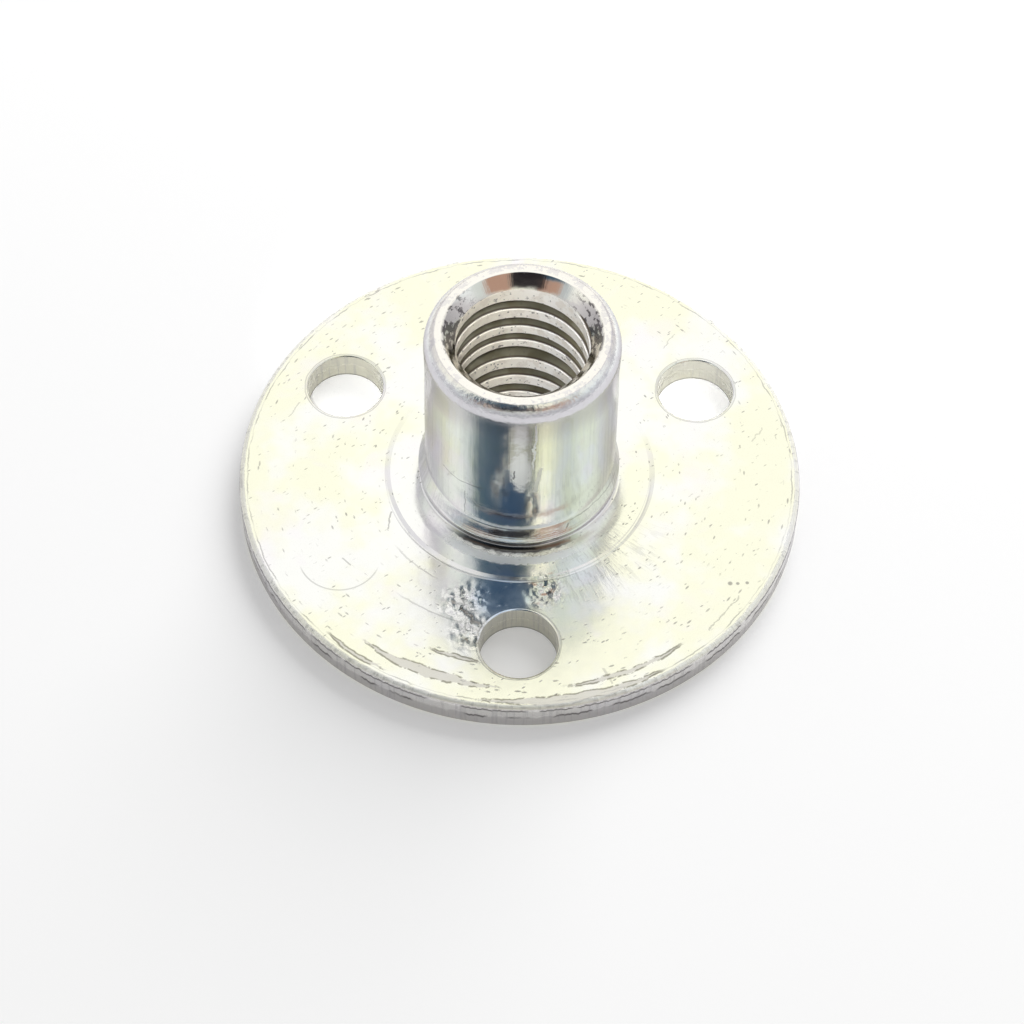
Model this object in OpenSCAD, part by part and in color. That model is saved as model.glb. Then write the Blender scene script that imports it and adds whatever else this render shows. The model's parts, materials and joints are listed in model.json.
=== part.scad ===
// Weld nut of the tee kind: a round flange with a tapped barrel, drawn from one piece of sheet steel.
// The origin is the centre of the flange's flat underside, and the barrel points along +Z.
// The thread's ridges are not cut here: the bore has the diameter of their crests.

/* [Flange] */
// Diameter of the flange
flange_d = 30.2; // [27:0.1:40]
// Thickness of the sheet that the nut is drawn from
sheet_t = 1.6; // [1.2:0.1:2]
// Radius of the flange's upper rim, which the blanking punch rolled over
flange_edge_round = 0.3; // [0.1:0.05:0.5]
// Slope left by the punch on the flange's lower rim
flange_edge_break = 0.08; // [0.04:0.02:0.2]

/* [Mounting holes] */
// How many holes the flange has
hole_count = 3; // [2:1:4]
// Diameter of each hole, which clears a wood screw
hole_d = 4.1; // [3:0.1:4.8]
// Width of the sheet that is left between a hole and the flange's rim
hole_margin = 1.95; // [1.2:0.05:3]
// Radius of the rolled-in upper rim of each hole
hole_edge_round = 0.12; // [0.05:0.01:0.2]

/* [Bore] */
// Largest diameter of the thread that is tapped in the barrel, 5/16 inch
thread_d = 7.94; // [6:0.01:10]
// Depth of the thread, from the diameter above to its crests
thread_depth = 0.52; // [0.4:0.02:0.7]
// How much wider than the thread the chamfered mouth is, all round
mouth_clearance = 0.08; // [0.02:0.02:0.2]
// Angle between the mouth's chamfer and the axis
mouth_angle = 41; // [35:1:50]
// Radius by which the flange's underside turns up into the bore
funnel_round = 1.5; // [0.8:0.1:1.8]

/* [Barrel] */
// Height of the whole nut, from the underside of the flange
overall_h = 13.4; // [9:0.1:20]
// Thickness of the barrel at its foot, outside the thread
barrel_wall = 1.13; // [0.9:0.01:1.5]
// Angle by which the drawn barrel narrows towards its mouth
barrel_draft = 0.6; // [0:0.1:1]
// How far the lip swells out past the barrel
lip_swell = 0.05; // [0.01:0.01:0.1]
// Height over which the barrel widens to the lip
lip_swell_h = 1.8; // [1:0.1:2.5]
// Height of the rounded part of the lip
lip_h = 0.97; // [0.8:0.01:1.04]
// Radius of the lip's outer side
lip_round = 1.12; // [1.08:0.01:1.5]
// Radius of the edge between the lip's outer side and its flat top
lip_crest_round = 0.18; // [0.1:0.01:0.3]

/* [Collar] */
// How far the collar's widest part stands out from the barrel's foot
collar_step = 0.38; // [0.3:0.01:0.6]
// Height of that widest part above the flange
collar_h = 0.95; // [0.8:0.05:1.6]
// How far the collar draws in again from there down to its root
collar_undercut = 0.19; // [0.05:0.01:0.3]
// Angle of the shoulder that joins the collar to the barrel, measured from the flange
shoulder_angle = 71; // [60:1:76]
// Radius where the shoulder runs into the barrel
shoulder_round = 0.5; // [0.2:0.05:1]
// Radius of the collar's widest part
collar_edge_round = 0.8; // [0.2:0.05:1]
// Radius where the collar meets the flange
root_round = 0.1; // [0.05:0.01:0.2]
// Width of the faintly raised ring that the press left round the collar
apron_w = 1.5; // [1:0.1:2]
// Height of that ring above the flange
apron_h = 0.05; // [0.02:0.01:0.08]

/* [Hidden] */
$fn = 144;
// How far a cut runs past the metal that it removes
over = 1;
// A rounding circle is drawn this much too large, so that it surely reaches the lines that it touches
hair = 0.0001;
flange_r = flange_d / 2;
hole_r = hole_d / 2;
hole_circle_r = flange_r - hole_margin - hole_r;
thread_r = thread_d / 2;
bore_r = thread_r - thread_depth;
mouth_r = thread_r + mouth_clearance;
mouth_h = (mouth_r - bore_r) / tan(mouth_angle);
barrel_foot_r = thread_r + barrel_wall;
collar_r = barrel_foot_r + collar_step;
apron_r = collar_r + apron_w;
apron_z = sheet_t + apron_h;
collar_z = sheet_t + collar_h;
shoulder_z = collar_z + collar_step * tan(shoulder_angle);
root_r = collar_r - collar_undercut;
// Angle by which the collar's lower side leans out from the axis
collar_lean = atan(collar_undercut / (collar_z - apron_z));
// The barrel is narrowest at its neck. From there it widens to the lip, whose outer side is an arc.
lip_z = overall_h - lip_h;
neck_z = lip_z - lip_swell_h;
neck_r = barrel_foot_r - (neck_z - shoulder_z) * tan(barrel_draft);
lip_r = neck_r + lip_swell;
lip_centre = [lip_r - lip_round, lip_z];
// The crest arc touches the lip's arc from inside and the flat top from below
crest_z = overall_h - lip_crest_round;
crest_rise = crest_z - lip_centre.y;
crest_run = sqrt((lip_round - lip_crest_round) ^ 2 - crest_rise ^ 2);
crest_centre = [lip_centre.x + crest_run, crest_z];
crest_out = [crest_run, crest_rise] / (lip_round - lip_crest_round);

function heading(angle) = [cos(angle), sin(angle)];

// What lies between a corner and the circle that touches both of its sides, and a little behind it.
// Added to a section it fills an inside corner, and taken away it rounds an outside one.
module corner_piece(corner, side_a, side_b, radius) {
    half = abs(side_a - side_b) / 2;
    middle = heading((side_a + side_b) / 2);
    touch = radius / tan(half);
    centre = corner + middle * radius / sin(half);
    difference() {
        polygon([
            corner - middle * radius,
            corner + heading(side_a) * touch,
            centre,
            corner + heading(side_b) * touch
        ]);
        translate(centre) circle(r = radius + hair);
    }
}

// Flange: a flat disc with its rims as the punch leaves them, and the raised ring round the foot
module flange_section() {
    difference() {
        square([flange_r, sheet_t]);
        corner_piece([flange_r, sheet_t], 180, 270, flange_edge_round);
        translate([flange_r, 0]) rotate(45) square(flange_edge_break * sqrt(2), center = true);
    }
    polygon([
        [0, 0],
        [apron_r + apron_h, 0],
        [apron_r + apron_h, sheet_t],
        [apron_r, apron_z],
        [0, apron_z]
    ]);
}

// Collar: a low bulge round the barrel's foot, with a steep shoulder above and a lean-in to its root below
module collar_section() {
    difference() {
        polygon([
            [0, 0],
            [root_r, 0],
            [root_r, apron_z],
            [collar_r, collar_z],
            [barrel_foot_r, shoulder_z],
            [0, shoulder_z]
        ]);
        corner_piece([collar_r, collar_z], 180 - shoulder_angle, 270 - collar_lean, collar_edge_round);
    }
    corner_piece([root_r, apron_z], 0, 90 - collar_lean, root_round);
    corner_piece([barrel_foot_r, shoulder_z], -shoulder_angle, 90 + barrel_draft, shoulder_round);
}

// Barrel: a tube that tapers to its neck, and a lip with a rounded outer side, a small crest and a flat top
module barrel_section() {
    polygon([
        [0, 0],
        [barrel_foot_r, 0],
        [barrel_foot_r, shoulder_z],
        [neck_r, neck_z],
        [lip_r, lip_z],
        [0, lip_z]
    ]);
    difference() {
        union() {
            square([lip_centre.x, overall_h]);
            intersection() {
                translate([0, lip_z]) square([lip_r, lip_h]);
                translate(lip_centre) circle(r = lip_round);
            }
        }
        difference() {
            polygon([
                crest_centre,
                crest_centre + crest_out * (lip_crest_round + over),
                crest_centre + [lip_round, lip_crest_round + over],
                crest_centre + [0, lip_crest_round + over]
            ]);
            translate(crest_centre) circle(r = lip_crest_round + hair);
        }
    }
}

// What the punch and the tap take out along the axis, from the funnel below to the chamfer above
module bore_section() {
    translate([0, -over]) square([bore_r, overall_h + 2 * over]);
    polygon([
        [0, overall_h - mouth_h],
        [bore_r, overall_h - mouth_h],
        [mouth_r + over * tan(mouth_angle), overall_h + over],
        [0, overall_h + over]
    ]);
    corner_piece([bore_r, 0], 0, 90, funnel_round);
}

// One mounting hole, with the rim that the piercing punch rolled in
module mounting_hole() {
    rotate_extrude() {
        translate([0, -over]) square([hole_r, sheet_t + 2 * over]);
        corner_piece([hole_r, sheet_t], -90, 0, hole_edge_round);
    }
}

module weld_nut() {
    color([0.87, 0.87, 0.82])
    difference() {
        rotate_extrude() {
            difference() {
                union() {
                    flange_section();
                    collar_section();
                    barrel_section();
                }
                bore_section();
            }
        }
        for (i = [0 : hole_count - 1]) {
            rotate(-90 + i * 360 / hole_count) translate([hole_circle_r, 0]) mounting_hole();
        }
    }
}

weld_nut();
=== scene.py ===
"""A zinc-plated weld nut of the tee kind, on a white floor, in a soft studio.

The nut is one piece of metal. Its body is a turned section that follows the CAD solid. The thread and
the mounting holes are cut from it, and then the metal gets its plating, scratches and sheared edges.
Lengths are in millimetres until a mesh is made, which is in metres.
"""

import json
import math

import bpy
from mathutils import Matrix, Vector, noise


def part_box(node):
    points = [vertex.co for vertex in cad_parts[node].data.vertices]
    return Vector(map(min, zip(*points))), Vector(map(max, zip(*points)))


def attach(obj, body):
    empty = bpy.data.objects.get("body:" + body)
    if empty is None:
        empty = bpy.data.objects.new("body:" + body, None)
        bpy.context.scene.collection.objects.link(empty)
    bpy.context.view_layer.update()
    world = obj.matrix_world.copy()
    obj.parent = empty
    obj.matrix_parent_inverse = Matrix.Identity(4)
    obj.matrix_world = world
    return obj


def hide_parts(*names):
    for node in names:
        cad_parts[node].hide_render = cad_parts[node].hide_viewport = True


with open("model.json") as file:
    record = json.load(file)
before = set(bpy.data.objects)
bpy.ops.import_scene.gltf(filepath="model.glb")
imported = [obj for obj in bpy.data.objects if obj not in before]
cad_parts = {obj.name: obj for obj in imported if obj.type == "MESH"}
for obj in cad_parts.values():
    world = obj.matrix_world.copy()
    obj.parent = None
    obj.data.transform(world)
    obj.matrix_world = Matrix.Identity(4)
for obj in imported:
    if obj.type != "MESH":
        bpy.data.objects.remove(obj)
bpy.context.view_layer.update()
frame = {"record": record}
scene = bpy.context.scene

MM = 0.001
mounts = {mount["name"]: mount for mount in frame["record"]["mounts"]}
low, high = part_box("weld_nut")

# ---------------------------------------------------------------- sizes, as in the CAD model
FLANGE_R = (high.x - low.x) / 2 / MM
TOP = high.z / MM
CREST_R = mounts["thread"]["dims"]["r_mm"]
HOLE_COUNT = mounts["screw_holes"]["dims"]["count"]
HOLE_R = mounts["screw_holes"]["dims"]["hole_r_mm"]
HOLE_CIRCLE_R = mounts["screw_holes"]["dims"]["pcd_mm"] / 2
SHEET = mounts["shoulder_face"]["pos_m"][2] / MM

EDGE_ROUND = 0.3
EDGE_BREAK = 0.08
HOLE_EDGE_ROUND = 0.12
ROOT_R = 3.97
MOUTH_R = ROOT_R + 0.08
MOUTH_ANGLE = math.radians(41)
MOUTH_H = (MOUTH_R - CREST_R) / math.tan(MOUTH_ANGLE)
MOUTH_EDGE_ROUND = 0.04
BORE_EDGE_ROUND = 0.03
FUNNEL_ROUND = 1.5
BARREL_FOOT_R = 5.1
BARREL_DRAFT = math.radians(0.6)
COLLAR_R = 5.48
COLLAR_Z = 2.55
COLLAR_EDGE_ROUND = 0.8
COLLAR_ROOT_R = 5.29
COLLAR_ROOT_ROUND = 0.1
SHOULDER_ANGLE = math.radians(71)
SHOULDER_Z = COLLAR_Z + (COLLAR_R - BARREL_FOOT_R) * math.tan(SHOULDER_ANGLE)
SHOULDER_ROUND = 0.5
LIP_SWELL = 0.05
LIP_SWELL_H = 1.8
LIP_SWELL_ROUND = 20
LIP_H = 0.97
LIP_ROUND = 1.12
LIP_CREST_ROUND = 0.18
APRON_R = 6.98
APRON_H = 0.05
APRON_EDGE_W = 0.3

# ---------------------------------------------------------------- the thread, 5/16-18 and right-hand
PITCH = 25.4 / 18
FLANK = math.tan(math.radians(30))
ROOT_FLAT = 0.16
# Height of the groove's middle where it passes the back (+Y), the first time below the mouth
GROOVE_BACK_Z = 11.435
# Where the groove starts and ends, in turns from there
GROOVE_FIRST_TURN = -9.2
GROOVE_LAST_TURN = 0.97
# Two places at the back where the tap ran late: the turn, and how far the groove's lower edge and
# its upper edge lie too high there
LATE_PLACES = ((-2.95, (0.1, 0.42)), (-1.95, (0.24, 0.12)))

# ---------------------------------------------------------------- how finely round shapes are divided
BODY_STEPS = 384
THREAD_STEPS = 240
HOLE_STEPS = 96
LONGEST_STRETCH = 0.4


# ---------------------------------------------------------------- mesh
def fillet(before, corner, after, radius, steps):
    """Points of the arc that rounds a corner of an outline."""
    a = (before - corner).normalized()
    b = (after - corner).normalized()
    half = a.angle(b) / 2
    centre = corner + (a + b).normalized() * radius / math.sin(half)
    start = corner + a * radius / math.tan(half) - centre
    end = corner + b * radius / math.tan(half) - centre
    sweep = start.angle_signed(end)
    return [centre + Matrix.Rotation(-sweep * i / steps, 2) @ start for i in range(steps + 1)]


def on_circle(centre, radius, angle):
    """The point of a circle at an angle, in radians."""
    return centre + Vector((math.cos(angle), math.sin(angle))) * radius


def split_long(points, longest):
    """The closed outline with its long stretches split, so that small unevenness can be put on them."""
    result = []
    for a, b in zip(points, points[1:] + points[:1]):
        parts = max(1, math.ceil((b - a).length / longest))
        result += [a.lerp(b, i / parts) for i in range(parts)]
    return result


def section():
    """Closed outline of the body, as radius and height, before the thread and the holes are cut."""
    lip_z = TOP - LIP_H
    neck_z = lip_z - LIP_SWELL_H
    neck_r = BARREL_FOOT_R - (neck_z - SHOULDER_Z) * math.tan(BARREL_DRAFT)
    lip_r = neck_r + LIP_SWELL
    lip_centre = Vector((lip_r - LIP_ROUND, lip_z))
    # The lip's large rounding passes smoothly into the small one of its crest
    crest_angle = math.asin((LIP_H - LIP_CREST_ROUND) / (LIP_ROUND - LIP_CREST_ROUND))
    crest_centre = on_circle(lip_centre, LIP_ROUND - LIP_CREST_ROUND, crest_angle)
    lip = [on_circle(lip_centre, LIP_ROUND, crest_angle * i / 9) for i in range(9)]
    for i in range(6):
        a = crest_angle + (math.pi / 2 - crest_angle) * i / 5
        lip.append(on_circle(crest_centre, LIP_CREST_ROUND, a))
    # Radius, height, rounding and its steps, from the underside outwards and up over the barrel
    corners = [
        (CREST_R, 0, FUNNEL_ROUND, 16),
        (FLANGE_R - EDGE_BREAK, 0, 0, 0),
        (FLANGE_R, EDGE_BREAK, 0, 0),
        (FLANGE_R, SHEET, EDGE_ROUND, 8),
        (APRON_R + APRON_EDGE_W, SHEET, 0, 0),
        (APRON_R, SHEET + APRON_H, 0, 0),
        (COLLAR_ROOT_R, SHEET + APRON_H, COLLAR_ROOT_ROUND, 5),
        (COLLAR_R, COLLAR_Z, COLLAR_EDGE_ROUND, 10),
        (BARREL_FOOT_R, SHOULDER_Z, SHOULDER_ROUND, 6),
        (neck_r, neck_z, LIP_SWELL_ROUND, 6),
        *[(p.x, p.y, 0, 0) for p in lip],
        (MOUTH_R, TOP, MOUTH_EDGE_ROUND, 3),
        (CREST_R, TOP - MOUTH_H, BORE_EDGE_ROUND, 3),
    ]
    places = [Vector(c[:2]) for c in corners]
    outline = []
    for i, (_, _, radius, steps) in enumerate(corners):
        if radius:
            outline += fillet(places[i - 1], places[i], places[(i + 1) % len(places)], radius, steps)
        else:
            outline.append(places[i])
    return split_long(outline, LONGEST_STRETCH)


def swelling(a, z):
    """How far the barrel's outside is out of round at an angle and a height, in millimetres."""
    on_barrel = smooth(z, SHEET + APRON_H, SHOULDER_Z) * smooth(TOP - z, 0, 0.8)
    spot = Vector((math.cos(a) * 1.9, math.sin(a) * 1.9, z * 0.3))
    waves = on_barrel * noise.noise(spot) * 0.018
    # The collar stands out most on the left, and least at the front
    front = smooth(-math.sin(a), 0.2, 1)
    at_collar = math.exp(-((max(0, z - COLLAR_Z - 0.15) / 0.7) ** 2))
    flatter = 0.06 * (1 + math.cos(a)) + 0.16 * front
    at_root = smooth(COLLAR_Z - z, 0, COLLAR_Z - SHEET - APRON_H)
    return waves - at_collar * flatter - at_root * front * 0.03


def sinking(a, z):
    """How much lower the collar's shoulder lies at the front, in millimetres."""
    front = smooth(-math.sin(a), 0.3, 1)
    near_collar = smooth(z, SHEET + APRON_H, COLLAR_Z + 0.5) * smooth(7.0 - z, 0, 3.0)
    return 0.4 * front * near_collar


def turned(name, outline, steps):
    """A closed outline of (radius, height) points, turned round the Z axis into a closed mesh."""
    verts = []
    for j in range(steps):
        a = 2 * math.pi * j / steps
        for p in outline:
            # Only the barrel's outside is uneven. The bore stays round.
            outside = CREST_R + 1 < p.x < APRON_R - 0.5 and p.y > SHEET + APRON_H
            r = p.x + (swelling(a, p.y) if outside else 0)
            z = p.y - (sinking(a, p.y) if outside else 0)
            verts.append((r * math.cos(a) * MM, r * math.sin(a) * MM, z * MM))
    n = len(outline)
    faces = []
    for j in range(steps):
        k = (j + 1) % steps
        for i in range(n):
            h = (i + 1) % n
            faces.append((j * n + i, k * n + i, k * n + h, j * n + h))
    return add_mesh(name, verts, faces)


def add_mesh(name, verts, faces):
    """Puts an object with this mesh, in metres, in the scene."""
    mesh = bpy.data.meshes.new(name)
    mesh.from_pydata(verts, [], faces)
    mesh.update()
    obj = bpy.data.objects.new(name, mesh)
    scene.collection.objects.link(obj)
    return obj


def smooth(x, low, high):
    """Rises smoothly from 0 at low to 1 at high."""
    t = min(1, max(0, (x - low) / (high - low)))
    return t * t * (3 - 2 * t)


def thread_cutter():
    """The helical groove as a closed solid. Its ridges of metal are what the groove leaves standing."""
    # It starts inside the open bore, so that it cuts right through the wall
    inner_r = CREST_R - 0.25
    turns = GROOVE_LAST_TURN - GROOVE_FIRST_TURN
    count = round(turns * THREAD_STEPS)
    verts = []
    for i in range(count + 1):
        turn = GROOVE_FIRST_TURN + turns * i / count
        a = math.pi / 2 + 2 * math.pi * turn
        z = GROOVE_BACK_Z + PITCH * turn
        # The groove fades out where the tap's first teeth entered the mouth
        fade = smooth(GROOVE_LAST_TURN - turn, 0, 0.3)
        uneven = Vector((math.cos(a) * 3, math.sin(a) * 3, turn * 5))
        edges = []
        for side in (-1, 1):
            wave = noise.noise(uneven * 1.5 + Vector((0, 0, side * 30))) * 0.03
            burr = noise.noise(uneven * 9 + Vector((0, 0, side * 70))) * 0.012
            late = 0
            for at, rises in LATE_PLACES:
                late += rises[side > 0] * math.exp(-(((turn - at) / 0.34) ** 2))
            root = side * ROOT_FLAT / 2 + late
            flat = root + side * (ROOT_R - inner_r) * FLANK
            edges.append((root, flat + wave + burr))
        (low_root, low_flat), (high_root, high_flat) = edges
        root_r = inner_r + (ROOT_R - inner_r) * fade
        outline = [(inner_r, low_flat), (root_r, low_root), (root_r, high_root), (inner_r, high_flat)]
        verts += [(r * math.cos(a) * MM, r * math.sin(a) * MM, (z + dz) * MM) for r, dz in outline]
    faces = [(0, 1, 2, 3)]
    for i in range(count):
        b = i * 4
        for k in range(4):
            h = (k + 1) % 4
            faces.append((b + k, b + 4 + k, b + 4 + h, b + h))
    last = count * 4
    faces.append((last + 3, last + 2, last + 1, last))
    return add_mesh("thread_cutter", verts, faces)


def hole_cutter(centre):
    """One mounting hole as a closed solid, with the rim that the piercing punch rolled in."""
    below, above = -0.5, SHEET + 0.5
    side = [Vector((HOLE_R, below))]
    rim_centre = Vector((HOLE_R + HOLE_EDGE_ROUND, SHEET - HOLE_EDGE_ROUND))
    for i in range(6):
        side.append(on_circle(rim_centre, HOLE_EDGE_ROUND, math.pi - math.pi / 2 * i / 5))
    side.append(Vector((HOLE_R + HOLE_EDGE_ROUND, above)))
    verts = [(0, 0, below * MM), (0, 0, above * MM)]
    for j in range(HOLE_STEPS):
        a = 2 * math.pi * j / HOLE_STEPS
        verts += [(p.x * math.cos(a) * MM, p.x * math.sin(a) * MM, p.y * MM) for p in side]
    n = len(side)
    faces = []
    for j in range(HOLE_STEPS):
        here = 2 + j * n
        there = 2 + (j + 1) % HOLE_STEPS * n
        faces.append((0, there, here))
        faces.append((1, here + n - 1, there + n - 1))
        faces += [(here + i, there + i, there + i + 1, here + i + 1) for i in range(n - 1)]
    cutter = add_mesh("hole_cutter", verts, faces)
    cutter.data.transform(Matrix.Translation((centre.x * MM, centre.y * MM, 0)))
    return cutter


def cut(obj, cutters):
    """Cuts the cutters' solids from the object, and removes the cutters."""
    for cutter in cutters:
        modifier = obj.modifiers.new("cut", "BOOLEAN")
        modifier.operation = "DIFFERENCE"
        modifier.solver = "MANIFOLD"
        modifier.object = cutter
    bpy.context.view_layer.update()
    result = bpy.data.meshes.new_from_object(obj.evaluated_get(bpy.context.evaluated_depsgraph_get()))
    obj.modifiers.clear()
    obj.data = result
    for cutter in cutters:
        bpy.data.objects.remove(cutter)


# The first hole is at the front
hole_angles = [-math.pi / 2 + 2 * math.pi * i / HOLE_COUNT for i in range(HOLE_COUNT)]
hole_centres = [on_circle(Vector((0, 0)), HOLE_CIRCLE_R, a) for a in hole_angles]
nut = turned("weld_nut_metal", section(), BODY_STEPS)
cut(nut, [thread_cutter()] + [hole_cutter(centre) for centre in hole_centres])
nut.data.shade_smooth()
nut.data.set_sharp_from_angle(angle=math.radians(35))


# ---------------------------------------------------------------- node trees
class Graph:
    """Builds shader nodes. A value may be a number, a colour, a vector or another node's output."""

    def __init__(self, tree):
        self.tree = tree
        tree.nodes.clear()

    def node(self, kind, inputs, output=0, **settings):
        """Makes a node, sets its inputs, and returns one of its outputs."""
        node = self.tree.nodes.new("ShaderNode" + kind)
        for key, value in settings.items():
            setattr(node, key, value)
        for key, value in inputs.items():
            socket = node.inputs[key]
            if isinstance(value, bpy.types.NodeSocket):
                self.tree.links.new(value, socket)
            elif isinstance(value, tuple) and len(socket.default_value) == 4:
                socket.default_value = (*value, 1)
            else:
                socket.default_value = value
        return node.outputs[output] if node.outputs else node

    def math(self, operation, a, b=0.0):
        return self.node("Math", {0: a, 1: b}, operation=operation)

    def add(self, a, b):
        return self.math("ADD", a, b)

    def take(self, a, b):
        return self.math("SUBTRACT", a, b)

    def times(self, first, *others):
        for value in others:
            first = self.math("MULTIPLY", first, value)
        return first

    def most(self, *values):
        """The largest of several masks."""
        first = values[0]
        for value in values[1:]:
            first = self.math("MAXIMUM", first, value)
        return first

    def length(self, a, b):
        return self.math("SQRT", self.add(self.times(a, a), self.times(b, b)))

    def step(self, value, start, end):
        """Rises smoothly from 0 at start to 1 at end, also where end is the lower of the two."""
        inputs = {"Value": value, "From Min": min(start, end), "From Max": max(start, end)}
        inputs["To Min"], inputs["To Max"] = (0.0, 1.0) if start < end else (1.0, 0.0)
        return self.node("MapRange", inputs, interpolation_type="SMOOTHSTEP")

    def window(self, value, low, high, soft):
        """1 between low and high, with soft sides."""
        rise = self.step(value, low - soft, low + soft)
        return self.times(rise, self.step(value, high + soft, high - soft))

    def line(self, value, at, half_width):
        """1 where value is at, down to 0 at half_width away."""
        return self.step(self.math("ABSOLUTE", self.take(value, at)), half_width, 0.0)

    def mix(self, factor, a, b):
        return self.node("Mix", {0: factor, 6: a, 7: b}, 2, data_type="RGBA")

    def vector(self, x, y, z):
        return self.node("CombineXYZ", {0: x, 1: y, 2: z})

    def noise(self, at, scale=1.0, detail=2.0, roughness=0.5, distortion=0.0):
        inputs = {"Vector": at, "Scale": scale, "Detail": detail}
        inputs |= {"Roughness": roughness, "Distortion": distortion}
        return self.node("TexNoise", inputs)

    def swing(self, value, size):
        """A noise made to swing about 0. Its whole range becomes size."""
        return self.times(self.take(value, 0.5), size)

    def cells(self, at, scale=1.0):
        """Distance to the nearest of many scattered points."""
        return self.node("TexVoronoi", {"Vector": at, "Scale": scale})

    def ramp(self, value, stops):
        """A colour for each place along the value, with smooth passages between the stops."""
        out = self.node("ValToRGB", {"Fac": value})
        elements = out.node.color_ramp.elements
        while len(elements) < len(stops):
            elements.new(0.5)
        for element, (place, colour) in zip(elements, stops):
            element.position = place
            element.color = (*colour, 1)
        return out

    def seen(self):
        """1 for the camera's own rays and for reflections, and 0 for light that spreads."""
        path = self.node("LightPath", {}).node.outputs
        mirrored = self.math("MAXIMUM", path["Is Glossy Ray"], path["Is Transmission Ray"])
        return self.math("MAXIMUM", path["Is Camera Ray"], mirrored)


class Metal(Graph):
    """A material on the nut. Its places are in millimetres in the nut's own frame."""

    def __init__(self, name):
        self.material = bpy.data.materials.new(name)
        self.material.use_nodes = True
        super().__init__(self.material.node_tree)
        local = self.node("TexCoord", {}, "Object")
        self.place = self.node("VectorMath", {0: local, "Scale": 1000.0}, operation="SCALE")
        self.x, self.y, self.z = self.node("SeparateXYZ", {0: self.place}).node.outputs
        self.r = self.length(self.x, self.y)
        self.east = self.math("DIVIDE", self.x, self.r)
        self.north = self.math("DIVIDE", self.y, self.r)
        # Angle round the axis in degrees: 0 at the front (-Y), positive to the right (+X)
        self.angle = self.times(self.math("ARCTAN2", self.x, self.times(self.y, -1.0)), 180 / math.pi)

    def round_axis(self, around, out, up=0.0):
        """Coordinates that follow the circles round the axis, with no seam."""
        deep = self.add(self.times(self.r, out), self.times(self.z, up))
        return self.vector(self.times(self.east, around), self.times(self.north, around), deep)

    def turned_grid(self, degrees, along, across):
        """Coordinates turned in the XY plane and stretched, for marks that lie one way."""
        a = math.radians(degrees)
        u = self.add(self.times(self.x, math.cos(a)), self.times(self.y, math.sin(a)))
        v = self.add(self.times(self.x, -math.sin(a)), self.times(self.y, math.cos(a)))
        return self.vector(self.times(u, along), self.times(v, across), self.z)

    def spot(self, x, y, inner, outer):
        """1 within inner of a point of the XY plane, down to 0 at outer."""
        return self.step(self.length(self.take(self.x, x), self.take(self.y, y)), outer, inner)

    def stroke(self, u, v, points, half_width):
        """1 on a line through points given in two coordinates, down to 0 at half_width away."""
        nearest = 1000.0
        for (u0, v0), (u1, v1) in zip(points, points[1:]):
            du, dv = u1 - u0, v1 - v0
            square = du * du + dv * dv
            from_u, from_v = self.take(u, u0), self.take(v, v0)
            along = self.add(self.times(from_u, du / square), self.times(from_v, dv / square))
            along = self.node("Clamp", {"Value": along})
            off_u = self.take(from_u, self.times(along, du))
            off_v = self.take(from_v, self.times(along, dv))
            nearest = self.math("MINIMUM", nearest, self.length(off_u, off_v))
        return self.step(nearest, half_width, half_width * 0.3)

    def scratched(self, marks, u, v, scratches):
        """Adds scratches to a mask. Each has its points, half its width, and its strength."""
        for points, half_width, strength in scratches:
            marks = self.most(marks, self.times(self.stroke(u, v, points, half_width), strength))
        return marks

    def plating(self):
        """Colour of the zinc: silvery, with faint clouds of yellow and lavender passivation."""
        near_rim = self.times(self.step(self.r, 8.0, 14.5), 0.1)
        yellow = self.step(self.add(self.noise(self.place, 0.25, 3, 0.6), near_rim), 0.44, 0.66)
        lavender = self.step(self.noise(self.place, 0.35, 2, 0.5, 0.6), 0.55, 0.72)
        colour = self.mix(yellow, (0.985, 0.985, 0.94), (0.985, 0.98, 0.78))
        return self.mix(self.times(lavender, 0.35), colour, (0.97, 0.91, 0.96))

    def finish(self, colour, roughness, height, metallic=1.0, edge=(1.0, 1.0, 1.0)):
        """Ends the material. Its relief is in millimetres, and edge tints grazing reflections."""
        normal = self.node("Bump", {"Height": height, "Distance": 0.001, "Strength": 1.0})
        inputs = {"Base Color": colour, "Metallic": metallic, "Roughness": roughness, "Normal": normal}
        inputs["Specular Tint"] = edge
        self.node("OutputMaterial", {"Surface": self.node("BsdfPrincipled", inputs)})
        return self.material


# ---------------------------------------------------------------- plated metal
GREY = (0.42, 0.42, 0.40)
DARK = (0.10, 0.09, 0.09)

# Scratches that handling left on the flange: points in X and Y, half the width, strength
FLANGE_SCRATCHES = [
    ([(-6.8, -2.9), (-7.0, -3.9)], 0.06, 0.6),
    ([(-9.3, -5.9), (-8.9, -6.3)], 0.06, 0.5),
    ([(11.5, -8.0), (10.8, -9.0), (9.9, -10.1)], 0.06, 0.45),
    ([(-14.9, -1.3), (-15.0, -0.5)], 0.12, 0.8),
    ([(4.4, -12.6), (4.8, -13.4)], 0.1, 0.35),
    ([(7.9, 8.5), (8.6, 9.4)], 0.05, 0.35),
    ([(-12.6, 3.4), (-12.1, 4.4)], 0.05, 0.35),
    ([(12.6, 2.1), (13.2, 3.0)], 0.05, 0.35),
]

# Single pits on the flange: X, Y, radius
FLANGE_PITS = [(11.1, -7.2, 0.16), (11.5, -7.2, 0.12), (12.0, -7.15, 0.12), (11.5, -9.7, 0.2)]

# Grey lenses and strips, painted reflections where the sheet rolls over to the rim at the front: the
# angles they run between, the radius at their middle, how it changes a degree, half their width
FLANGE_REFLECTED_LENSES = [
    (-40, 0, 13.75, 0.006, 0.30),
    (-47, -24, 14.5, 0.004, 0.12),
    (-25, -6, 12.35, 0.010, 0.12),
    (4, 44, 13.9, 0.002, 0.14),
    (-14, 36, 14.65, 0.0, 0.28),
]

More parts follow.
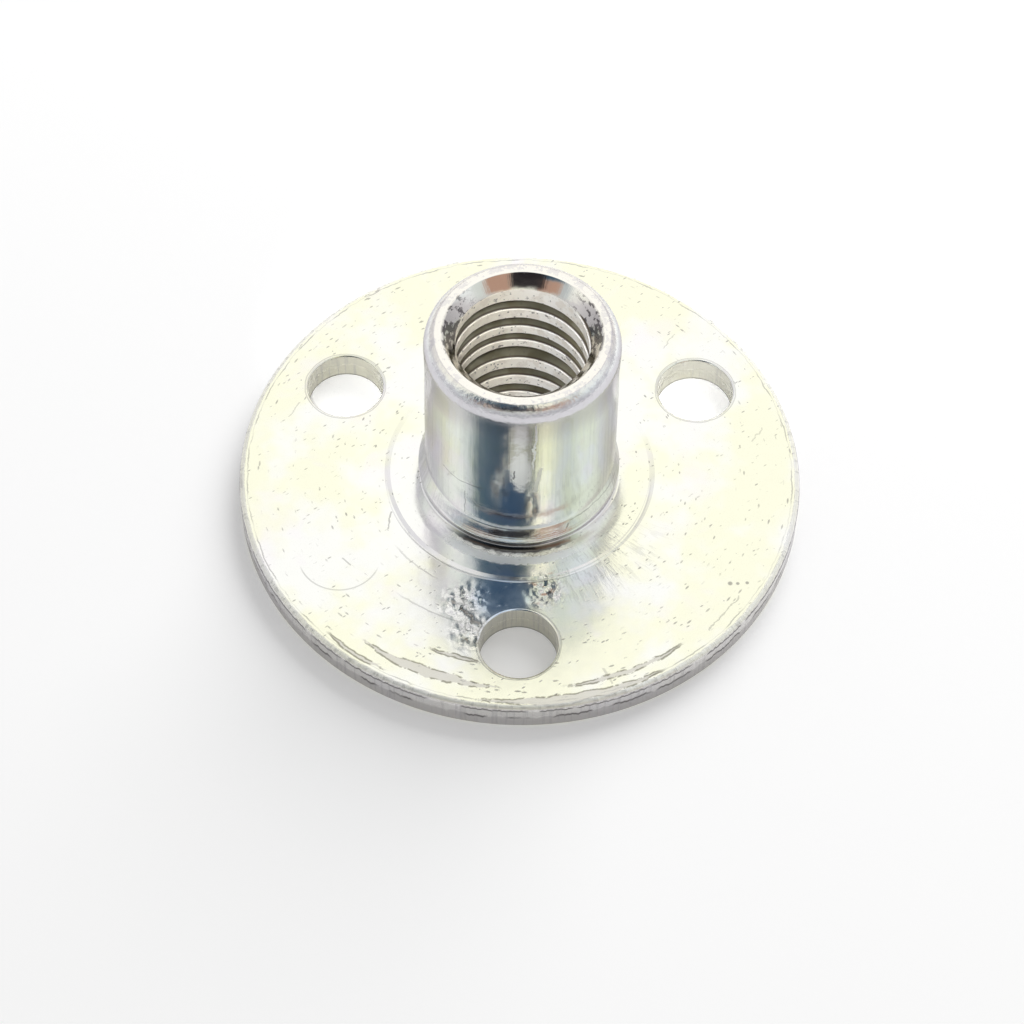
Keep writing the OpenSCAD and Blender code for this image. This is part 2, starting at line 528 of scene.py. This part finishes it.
# Scratches round the barrel: points in distance round it from the front and in height, half the
# width, strength
BARREL_SCRATCHES = [
    ([(-4.7, 6.2), (-3.6, 6.15), (-2.0, 6.4)], 0.05, 0.5),
    ([(-3.1, 3.6), (-3.05, 5.5)], 0.04, 0.5),
    ([(-0.36, 7.8), (-0.34, 8.4)], 0.06, 0.8),
    ([(2.8, 3.15), (4.6, 3.22), (6.8, 3.15)], 0.05, 0.5),
    ([(2.62, 2.75), (2.66, 2.93)], 0.09, 0.6),
    ([(8.6, 5.5), (8.9, 6.6)], 0.05, 0.4),
    ([(-10.0, 4.2), (-9.7, 5.0)], 0.05, 0.4),
    ([(14.1, 7.0), (14.4, 8.2)], 0.05, 0.4),
]


def flange_metal():
    """Flat faces of the flange: rolled sheet, rubbed and marked by the press, with some painted
    reflections and shade.
    """
    g = Metal("zinc_flange")
    colour = g.plating()
    # Shaken coordinates, so that no mark is drawn with a ruler
    shake = g.swing(g.noise(g.place, 1.1, 3, 0.6), 0.5)
    x, y = g.add(g.x, shake), g.take(g.y, shake)
    r = g.add(g.r, g.times(shake, 0.6))
    on_top = g.step(g.z, 0.4, 0.8)

    # Flecks and pits all over, in loose swarms
    crowd = g.step(g.noise(g.place, 0.5, 3, 0.6), 0.40, 0.58)
    flecks = g.step(g.cells(g.round_axis(12.0, 3.2)), 0.20, 0.09)
    flecks = g.most(flecks, g.step(g.cells(g.turned_grid(35, 1.2, 3.6)), 0.18, 0.08))
    flecks = g.times(flecks, g.step(g.noise(g.place, 2.3, 2, 0.5), 0.38, 0.52))
    pits = g.step(g.cells(g.place, 1.7), 0.07, 0.04)
    marks = g.times(g.most(flecks, pits), g.add(0.12, g.times(crowd, 0.6)))

    # Scratches and single pits
    marks = g.scratched(marks, x, y, FLANGE_SCRATCHES)
    for pit_x, pit_y, size in FLANGE_PITS:
        marks = g.most(marks, g.times(g.spot(pit_x, pit_y, size * 0.5, size), 0.75))

    # A curled scratch on the left: an arc of 2.16 mm radius
    curl = g.line(g.length(g.add(g.x, 9.48), g.add(g.y, 5.74)), 2.16, 0.07)
    marks = g.most(marks, g.times(curl, g.step(g.y, -6.3, -6.9), 0.45))

    # A thin line inside the rim, and a thin dark edge round the holes
    patchy = g.step(g.noise(g.place, 0.55, 2, 0.5), 0.46, 0.58)
    marks = g.most(marks, g.times(g.line(r, FLANGE_R - 0.42, 0.06), g.add(0.15, g.times(patchy, 0.45))))
    for hole in hole_centres:
        away = g.length(g.take(g.x, hole.x), g.take(g.y, hole.y))
        edge = g.times(g.line(g.add(away, g.times(shake, 0.25)), HOLE_R + 0.16, 0.07), 0.4)
        marks = g.most(marks, edge)

    # Broken arcs that the press left, and in front a dark line of painted shade at the apron's foot
    press_arcs_and_shade = g.times(g.line(r, 10.25, 0.08), g.window(g.angle, -37, -18, 3))
    press_arcs_and_shade = g.most(press_arcs_and_shade, g.times(g.line(r, 8.3, 0.08), g.window(g.angle, -51, -32, 3)))
    apron_foot_shade = g.times(g.line(g.r, 7.3, 0.07), g.window(g.angle, -55, 22, 12))
    press_arcs_and_shade = g.most(press_arcs_and_shade, g.times(apron_foot_shade, g.add(0.4, patchy)))
    marks = g.times(g.most(marks, g.times(press_arcs_and_shade, 0.4)), on_top)
    colour = g.mix(g.times(marks, 0.85), colour, (0.20, 0.19, 0.18))

    # The lenses, painted reflections, filled and outlined
    sway = g.swing(g.noise(g.place, 0.8, 3, 0.6), 0.5)
    reflected_lenses = 0.0
    reflected_outlines = 0.0
    for start, end, middle, lean, half in FLANGE_REFLECTED_LENSES:
        reach = (end - start) / 4
        width = g.times(g.window(g.angle, start + reach, end - reach, reach), half)
        leaning = g.times(g.take(g.angle, (start + end) / 2), -lean)
        away = g.add(g.take(g.r, middle), g.add(sway, leaning))
        beyond = g.take(g.math("ABSOLUTE", away), width)
        there = g.step(width, 0.02, 0.05)
        reflected_lenses = g.most(reflected_lenses, g.times(g.step(beyond, 0.02, -0.04), there))
        reflected_outlines = g.most(reflected_outlines, g.times(g.line(beyond, 0.0, 0.08), there))
    broken = g.step(g.noise(g.place, 1.7, 3, 0.6), 0.40, 0.52)
    colour = g.mix(g.times(reflected_lenses, on_top, 0.8), colour, (0.68, 0.66, 0.60))
    colour = g.mix(g.times(reflected_outlines, broken, on_top, 0.85), colour, (0.22, 0.21, 0.15))

    # The rolled edge, pale and chipped
    rolled = g.step(g.add(g.r, g.times(sway, 0.3)), FLANGE_R - 0.3, FLANGE_R - 0.22)
    rolled = g.times(rolled, on_top)
    chipped = g.noise(g.round_axis(45.0, 1.5, 1.5), 1.0, 3, 0.65)
    colour = g.mix(g.times(rolled, 0.6), colour, (0.96, 0.95, 0.90))
    colour = g.mix(g.times(rolled, g.step(chipped, 0.56, 0.64), 0.35), colour, GREY)

    # Crackled film in front of the barrel, with a painted blue reflection of the barrel, and short
    # radial scuffs to its right
    crackle = g.most(
        g.line(g.noise(g.round_axis(11.0, 0.9), 1.0, 3, 0.6, 0.4), 0.5, 0.03),
        g.line(g.noise(g.place, 1.7, 2, 0.6, 0.6), 0.5, 0.03),
    )
    left_film = g.most(g.spot(-2.8, -8.6, 0.2, 1.7), g.spot(-2.4, -10.4, 0.2, 1.6))
    right_film = g.times(g.spot(1.5, -7.8, 0.2, 1.5), 0.7)
    crackled = g.times(g.most(left_film, right_film), on_top)
    chalky = g.times(crackled, g.step(g.noise(g.place, 0.9, 3, 0.65), 0.42, 0.50))
    colour = g.mix(g.times(crackle, crackled, 0.7), colour, (0.24, 0.24, 0.24))
    # Painted reflection: the barrel's blue, mirrored in the flange in front of it
    blue_reflection = g.times(g.spot(-0.9, -8.2, 0.8, 2.0), on_top, 0.8)
    colour = g.mix(blue_reflection, colour, (0.66, 0.80, 0.97))
    scuffs = g.noise(g.round_axis(38.0, 0.9), 1.0, 3, 0.65)
    scuffed = g.times(g.window(g.r, 6.0, 9.2, 0.8), g.window(g.angle, 14, 60, 10), on_top)
    colour = g.mix(g.times(g.step(scuffs, 0.53, 0.60), scuffed, 0.25), colour, GREY)

    # In front of the collar: painted shade in the corner, a torn white edge, and a dull band whose grey
    # is a painted reflection
    at_front = g.window(g.angle, -42, 30, 10)
    from_root = g.add(g.r, g.swing(g.noise(g.place, 3.0, 3, 0.65), 0.35))
    corner_shade = g.times(g.step(from_root, 5.5, 5.42), at_front, on_top)
    torn_edge = g.times(g.window(from_root, 5.5, 5.68, 0.04), at_front, on_top)
    torn_edge = g.times(torn_edge, g.step(g.noise(g.place, 2.4, 3, 0.6), 0.42, 0.5))
    dull_band_and_reflection = g.times(g.window(from_root, 5.7, 6.2, 0.08), at_front, on_top)
    colour = g.mix(g.times(corner_shade, 0.8), colour, DARK)
    colour = g.mix(g.times(dull_band_and_reflection, 0.7), colour, (0.80, 0.83, 0.85))
    chalky = g.most(chalky, torn_edge)

    # The apron dips a little towards the barrel, and ends in a thin raised ring
    dip = g.times(g.step(g.r, 5.3, 6.3), on_top)
    ring = g.times(g.line(g.length(g.add(g.x, 0.1), g.add(g.y, 0.1)), 7.15, 0.08), on_top)
    ring = g.times(ring, g.window(g.angle, -75, 75, 15))

    waves = g.times(g.noise(g.place, 0.5, 2, 0.5), 0.03)
    grain = g.times(g.noise(g.place, 5.0, 3, 0.6), 0.0015)
    relief = g.add(g.add(waves, grain), g.times(marks, -0.006))
    relief = g.add(relief, g.times(scuffs, scuffed, 0.012))
    relief = g.add(relief, g.times(g.swing(g.noise(g.place, 1.25, 1.5, 0.5), 0.34), crackled))
    relief = g.add(relief, g.times(dip, 0.07))
    relief = g.add(relief, g.times(ring, 0.01))
    relief = g.add(relief, g.times(g.swing(chipped, 0.08), rolled))
    pale = g.most(rolled, dull_band_and_reflection)
    roughness = g.add(0.16, g.times(g.noise(g.place, 1.2, 3, 0.6), 0.12))
    roughness = g.take(roughness, g.times(g.step(g.r, 11.0, 7.2), 0.06))
    roughness = g.add(roughness, g.times(ring, g.window(g.angle, -60, 20, 15), 0.35))
    roughness = g.add(roughness, g.times(pale, 0.2))
    metallic = g.take(1.0, g.most(g.times(chalky, 0.4), g.times(pale, 0.45)))
    return g.finish(colour, roughness, relief, metallic)


def barrel_metal():
    """Collar, barrel, lip and the mouth's cone: drawn bright by the die, with fine upright marks."""
    g = Metal("zinc_barrel")
    clouds = g.step(g.noise(g.place, 0.35, 2, 0.5, 0.6), 0.45, 0.7)
    colour = g.mix(clouds, (0.91, 0.94, 0.93), (0.92, 0.90, 0.95))

    # A greyer band round the lip, and a cream tone in the mouth's cone
    in_mouth = g.step(g.r, 4.2, 4.05)
    on_lip = g.step(g.r, 4.1, 4.3)
    around_lip = g.times(g.step(g.z, TOP - 3.4, TOP - 1.4), g.step(g.z, TOP - 0.2, TOP - 0.5))
    colour = g.mix(g.times(around_lip, g.step(g.r, 4.3, 4.6)), colour, (0.72, 0.71, 0.74))
    cone = g.times(g.step(g.z, TOP - 0.75, TOP - 0.7), g.step(g.r, 4.9, 4.6))
    colour = g.mix(cone, colour, (0.98, 0.95, 0.87))

    # Shade and flaking soot on both sides of the mouth's cone
    aside = g.math("ABSOLUTE", g.angle)
    flaking = g.noise(g.round_axis(9.0, 3.0, 3.0), 1.0, 4, 0.6)
    flaking = g.add(flaking, g.times(g.window(aside, 78, 104, 6), 0.1))
    shaded = g.times(in_mouth, g.window(aside, 76, 118, 22), 0.6)
    colour = g.mix(shaded, colour, (0.36, 0.35, 0.34))
    sooty = g.times(in_mouth, g.window(aside, 72, 130, 12), g.step(flaking, 0.53, 0.57))
    colour = g.mix(g.times(sooty, 0.85), colour, DARK)

    # A painted dark reflection in the undercut below the collar, at the front, and blotches on the lip
    ragged = g.add(g.z, g.swing(g.noise(g.place, 3.0, 3, 0.65), 0.5))
    undercut_dark_reflection = g.times(g.window(ragged, 1.6, 2.1, 0.06), g.window(g.angle, -36, 14, 6))
    colour = g.mix(g.times(undercut_dark_reflection, 0.6), colour, DARK)
    mottled = g.step(g.noise(g.place, 1.9, 4, 0.65), 0.5, 0.58)
    mottled = g.times(mottled, g.step(g.z, TOP - 1.6, TOP - 1.0), on_lip, 0.4)
    colour = g.mix(mottled, colour, (0.66, 0.64, 0.67))

    # Flecks, scratches, and a dull worn streak down the front
    across = g.times(g.angle, math.pi / 180 * BARREL_FOOT_R)
    shake = g.swing(g.noise(g.place, 1.6, 3, 0.6), 0.35)
    u, v = g.add(across, shake), g.add(g.z, shake)
    flecks = g.step(g.cells(g.round_axis(26.0, 1.0, 1.6)), 0.10, 0.04)
    flecks = g.times(flecks, g.step(g.noise(g.place, 0.8), 0.46, 0.6), 0.6)
    flecks = g.scratched(flecks, u, v, BARREL_SCRATCHES)
    colour = g.mix(flecks, colour, (0.25, 0.25, 0.26))
    ragged_u = g.add(across, g.times(shake, 1.6))
    worn = g.times(g.stroke(ragged_u, v, [(0.62, 8.6), (0.78, 12.3)], 0.09), 0.8)
    worn = g.most(worn, g.times(g.stroke(u, v, [(0.75, 6.7), (1.05, 8.5)], 0.2), 0.6))

    # Upright streaks from the drawing die, and grey blotches at the sides and the back
    draw = g.noise(g.round_axis(30.0, 0.2, 0.12), 1.0, 4, 0.6)
    blotches = g.noise(g.round_axis(5.0, 0.5, 0.5), 1.0, 4, 0.6)
    on_wall = g.step(g.z, TOP - 0.9, TOP - 1.5)
    off_front = g.times(g.step(aside, 42, 75), on_wall)
    streaks = g.times(g.step(draw, 0.46, 0.62), on_wall, g.add(0.12, g.times(off_front, 0.3)))
    colour = g.mix(streaks, colour, (0.62, 0.63, 0.64))
    blotched = g.times(g.step(blotches, 0.45, 0.62), off_front, 0.35)
    colour = g.mix(blotched, colour, (0.70, 0.71, 0.70))

    # The lip is a little hammered, the collar uneven, with a fine bead round its widest place
    dents = g.noise(g.place, 1.1, 2, 0.5)
    hammered = g.times(g.noise(g.place, 3.4, 3, 0.6), g.step(g.z, TOP - 1.3, TOP - 0.6), on_lip)
    bead = g.times(g.line(g.z, COLLAR_Z, 0.06), g.window(g.angle, -60, 60, 20))
    uneven = g.times(g.noise(g.place, 3.0, 3, 0.65), g.window(g.z, 1.7, 3.0, 0.3))
    relief = g.add(g.times(draw, 0.005), g.times(dents, 0.012))
    relief = g.add(relief, g.times(g.noise(g.place, 6.0, 2, 0.6), 0.0012))
    relief = g.add(g.add(relief, g.times(hammered, 0.03)), g.times(bead, 0.004))
    relief = g.add(relief, g.times(uneven, 0.01))
    relief = g.take(relief, g.times(flecks, 0.004))
    roughness = g.add(0.06, g.times(g.noise(g.place, 1.5, 3, 0.6), 0.08))
    roughness = g.add(g.add(roughness, g.times(worn, 0.5)), g.times(off_front, 0.12))
    roughness = g.add(roughness, g.times(g.step(g.z, TOP - 1.5, TOP - 1.0), on_lip, 0.12))
    return g.finish(colour, roughness, relief, edge=(0.74, 0.73, 0.73))


def thread_metal():
    """The bore: rubbed pale crests with specks, and a smooth olive coating down in the grooves, darkened
    there as painted shade, with a painted shadow on the flank under each crest.
    """
    g = Metal("zinc_thread")
    groove = g.step(g.r, CREST_R + 0.015, CREST_R + 0.09)
    # Crests are cream on the left; the whiter right side is painted light falling from the right
    cream = g.step(g.x, 2.0, -2.0)
    crest = g.mix(cream, (0.97, 0.96, 0.93), (0.97, 0.91, 0.78))
    tarnish = g.times(g.step(g.noise(g.place, 1.6, 4, 0.65), 0.48, 0.58), 0.4)
    crest = g.mix(tarnish, crest, (0.72, 0.65, 0.56))
    # Painted shade: the olive coating in the grooves is made dark, and darker brown on the flank under
    # each crest as a painted shadow
    thick = g.step(g.noise(g.place, 0.9, 2, 0.5), 0.4, 0.6)
    film_and_shade = g.mix(thick, (0.15, 0.135, 0.085), (0.20, 0.185, 0.13))
    flank = g.window(g.r, CREST_R + 0.03, CREST_R + 0.15, 0.03)
    film_and_shade = g.mix(g.times(flank, 0.8), film_and_shade, (0.075, 0.055, 0.045))
    colour = g.mix(groove, crest, film_and_shade)
    specks = g.step(g.cells(g.place, 2.8), 0.2, 0.1)
    specks = g.times(specks, g.step(g.noise(g.place, 1.2), 0.36, 0.48))
    dabs = g.step(g.noise(g.place, 3.0, 3, 0.65), 0.62, 0.68)
    colour = g.mix(g.times(g.most(specks, dabs), 0.75, g.take(1.0, g.times(groove, 0.6))), colour, DARK)
    torn = g.times(g.noise(g.round_axis(9.0, 0.0, 9.0)), 0.004)
    relief = g.add(g.times(g.noise(g.place, 2.2, 3, 0.6), 0.02), torn)
    return g.finish(colour, 0.3, relief, g.add(0.25, g.times(groove, 0.4)))


def sheared_metal():
    """Rims that the punch cut: rubbed bright above, torn and greyer below, with a ragged line between."""
    g = Metal("zinc_sheared")
    colour = g.plating()
    ragged = g.add(g.z, g.swing(g.noise(g.round_axis(26.0, 0.0), 1.0, 3, 0.6), 0.7))
    torn = g.step(ragged, 0.95, 0.7)
    tear = g.times(g.line(ragged, 0.80, 0.15), g.step(g.noise(g.round_axis(9.0, 0.0)), 0.44, 0.56))
    # A dark line of painted reflection along the top of the rim's rounding, below the rolled edge
    crest = g.add(g.z, g.swing(g.noise(g.round_axis(60.0, 0.0), 1.0, 3, 0.6), 0.25))
    rim_top_reflection = g.times(g.line(crest, 1.37, 0.09), g.step(g.noise(g.round_axis(12.0, 0.0)), 0.34, 0.44))
    on_rim = g.step(g.r, FLANGE_R - 0.6, FLANGE_R - 0.4)
    colour = g.mix(0.8, colour, g.mix(on_rim, (0.60, 0.585, 0.50), (0.72, 0.70, 0.72)))
    colour = g.mix(g.times(torn, on_rim, 0.5), colour, (0.42, 0.40, 0.40))
    colour = g.mix(g.times(g.most(tear, rim_top_reflection), on_rim, 0.92), colour, DARK)
    streaks = g.noise(g.round_axis(90.0, 0.0, 0.3), 1.0, 3, 0.6)
    colour = g.mix(g.times(g.step(streaks, 0.5, 0.65), 0.35), colour, (0.38, 0.37, 0.38))
    # Painted shade along the foot of the walls, where they meet the floor
    colour = g.mix(g.times(g.step(g.z, 0.14, 0.04), 0.6), colour, DARK)
    relief = g.add(g.times(streaks, 0.01), g.times(g.noise(g.place, 3.0, 4, 0.6), torn, 0.05))
    return g.finish(colour, g.add(0.25, g.times(torn, 0.2)), relief, g.add(0.25, g.times(on_rim, 0.5)))


FLANGE, BARREL, THREAD, SHEARED = range(4)
nut.data.materials.clear()
for make in (flange_metal, barrel_metal, thread_metal, sheared_metal):
    nut.data.materials.append(make())

for face in nut.data.polygons:
    # Level faces are shaded flat, or the roundings beside them would shade across them
    level = abs(face.normal.z)
    face.use_smooth = level < 0.9999
    centre = face.center / MM
    r = centre.xy.length
    in_hole = any((centre.xy - hole).length < HOLE_R + 0.02 for hole in hole_centres)
    on_rim = r > FLANGE_R - 0.1 and level < 0.6
    in_bore = r < ROOT_R + 0.01 and 0.1 < centre.z < TOP - MOUTH_H
    if in_hole or on_rim:
        face.material_index = SHEARED
    elif in_bore:
        face.material_index = THREAD
    elif centre.z > SHEET + APRON_H + 0.02:
        face.material_index = BARREL
    else:
        face.material_index = FLANGE

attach(nut, "root")
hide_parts("weld_nut")


# ---------------------------------------------------------------- studio
def stage_material(name):
    """A material for the stage, and its empty graph."""
    material = bpy.data.materials.new(name)
    material.use_nodes = True
    return material, Graph(material.node_tree)


def paper_floor():
    """White paper. What is missing to pure white is added for the camera and for reflections alone."""
    floor = add_mesh("floor", [(-1, -1, 0), (1, -1, 0), (1, 1, 0), (-1, 1, 0)], [(0, 1, 2, 3)])
    # A hair below the underside, so that the two faces do not fight
    floor.location.z = -0.01 * MM
    material, g = stage_material("paper")
    paper = g.node("BsdfDiffuse", {"Color": (0.86, 0.86, 0.86)})
    glow = g.node("Emission", {"Color": (1.0, 1.0, 1.0), "Strength": g.times(g.seen(), 0.2)})
    g.node("OutputMaterial", {"Surface": g.node("AddShader", {0: paper, 1: glow})})
    floor.data.materials.append(material)


def studio_tent():
    """A white tent, seen only in reflections. Blue, black and warm things stand in front in it."""
    radius = 0.5
    rings, sides = 24, 64
    verts = [(0, 0, radius)]
    for i in range(1, rings + 1):
        for j in range(sides):
            lean, a = math.pi / 2 * i / rings, 2 * math.pi * j / sides
            out, up = radius * math.sin(lean), radius * math.cos(lean)
            verts.append((out * math.cos(a), out * math.sin(a), up))
    faces = [(0, 1 + j, 1 + (j + 1) % sides) for j in range(sides)]
    for i in range(rings - 1):
        for j in range(sides):
            b, k = 1 + i * sides, (j + 1) % sides
            faces.append((b + j, b + sides + j, b + sides + k, b + k))
    tent = add_mesh("tent", verts, faces)
    material, g = stage_material("tent")
    x, y, z = g.node("SeparateXYZ", {0: g.node("TexCoord", {}, "Object")}).node.outputs
    # Both in degrees. Side is 0 at the front and positive to the right.
    side = g.times(g.math("ARCTAN2", x, g.times(y, -1.0)), 180 / math.pi)
    height = g.times(g.math("ARCTAN2", z, g.length(x, y)), 180 / math.pi)
    # Its colour all the way round: from the back by the left to the front, and by the right back
    around = g.add(g.math("DIVIDE", side, 360.0), 0.5)
    white = (1.04, 1.04, 1.04)
    wall = g.ramp(around, [
        (0.05, white), (0.106, (0.66, 0.65, 0.71)), (0.16, (0.70, 0.70, 0.74)),
        (0.214, (0.82, 0.82, 0.82)), (0.272, (0.97, 0.98, 0.95)), (0.305, (0.85, 0.87, 0.86)),
        (0.335, (0.45, 0.50, 0.55)), (0.555, (1.15, 1.15, 1.02)), (0.585, (1.15, 1.15, 1.02)),
        (0.625, (0.63, 0.67, 0.69)), (0.675, (0.63, 0.68, 0.69)), (0.71, (0.84, 0.89, 0.94)),
        (0.775, (0.86, 0.91, 0.97)), (0.825, (0.70, 0.70, 0.76)), (0.883, (0.68, 0.67, 0.75)),
        (0.94, white),
    ])
    low = g.mix(g.window(side, -70, 70, 12), (0.62, 0.61, 0.66), (0.55, 0.55, 0.57))
    colour = g.mix(g.step(height, 24, 17), wall, low)
    colour = g.mix(g.step(height, 6, 2), colour, (0.62, 0.62, 0.62))
    warm_left = g.times(g.window(side, -52, -20, 4), g.window(height, 23, 34, 3))
    warm_right = g.times(g.window(side, 17, 52, 4), g.window(height, 23, 44, 3))
    colour = g.mix(g.most(warm_left, warm_right), colour, (0.44, 0.28, 0.22))
    blue_things = g.window(side, -55, 17, 3)
    blue = g.mix(g.step(side, -46, -24), (0.06, 0.105, 0.155), (0.045, 0.08, 0.13))
    colour = g.mix(g.times(blue_things, g.step(height, 31, 36)), colour, blue)
    camera_body = g.times(g.window(side, -31, 18, 3), g.window(height, 27, 47, 3))
    black = g.most(camera_body, g.times(blue_things, g.step(height, 68, 76)))
    colour = g.mix(black, colour, (0.02, 0.017, 0.02))
    g.node("OutputMaterial", {"Surface": g.node("Emission", {"Color": colour, "Strength": 1.0})})
    # Nothing but reflections sees it, so it isn't sampled as a lamp
    material.cycles.emission_sampling = "NONE"
    tent.data.materials.append(material)
    tent.visible_camera = False
    tent.visible_diffuse = False
    tent.visible_shadow = False


def hang(data, place, aim):
    """Hangs a lamp at a place and points it at another. Reflections do not show it."""
    lamp = bpy.data.objects.new(data.name, data)
    scene.collection.objects.link(lamp)
    lamp.location = place
    lamp.rotation_euler = (aim - lamp.location).to_track_quat("-Z", "Y").to_euler()
    lamp.visible_glossy = False


def soft_lamp(name, place, size, energy):
    """A round lamp that points at the nut."""
    data = bpy.data.lights.new(name, "AREA")
    data.shape = "DISK"
    data.size = size
    data.energy = energy
    hang(data, place, Vector((0, 0, 0)))


def snoot(name, place, cone, energy):
    """A lamp whose narrow cone, in degrees, lights the nut's mouth alone."""
    data = bpy.data.lights.new(name, "SPOT")
    data.spot_size = math.radians(cone)
    data.spot_blend = 0.4
    data.shadow_soft_size = 0.01
    data.energy = energy
    hang(data, place, Vector((0, 0, TOP * MM)))


def white_world():
    """White behind everything, and dimmer as light than it looks."""
    world = bpy.data.worlds.new("studio")
    scene.world = world
    world.use_nodes = True
    g = Graph(world.node_tree)
    strength = g.add(0.45, g.times(g.seen(), 0.55))
    sky = g.node("Background", {"Color": (1.0, 1.0, 1.0), "Strength": strength})
    g.node("OutputWorld", {"Surface": sky})


def add_camera():
    """The camera stands in front of the nut and looks down at it, a little turned."""
    distance, elevation = 165.3 * MM, math.radians(54.46)
    yaw, pitch, roll = math.radians(0.13), math.radians(-0.47), math.radians(-1.21)
    data = bpy.data.cameras.new("camera")
    data.sensor_width = 36
    data.lens = 106.95
    data.clip_start = 0.01
    camera = bpy.data.objects.new("camera", data)
    scene.collection.objects.link(camera)
    place = Vector((0, -math.cos(elevation), math.sin(elevation))) * distance
    forward = -place.normalized()
    right = forward.cross(Vector((0, 0, 1))).normalized()
    up = right.cross(forward)
    axes = Matrix((right, up, -forward)).transposed()
    axes = Matrix.Rotation(yaw, 3, up) @ axes
    axes = Matrix.Rotation(pitch, 3, axes.col[0]) @ axes
    axes = Matrix.Rotation(roll, 3, -axes.col[2]) @ axes
    stand = Matrix.Rotation(math.radians(-0.66), 4, "Z")
    camera.matrix_world = stand @ Matrix.Translation(place) @ axes.to_4x4()
    scene.camera = camera


paper_floor()
studio_tent()
# A broad, low lamp behind on the right gives the floor its soft shadow, and a snoot lights the bore
soft_lamp("broad_lamp", (0.19, 0.37, 0.27), 0.44, 2.45)
snoot("bore_lamp", (-0.01, -0.105, 0.17), 4.0, 5.0)
white_world()
add_camera()
scene.view_settings.view_transform = "Standard"
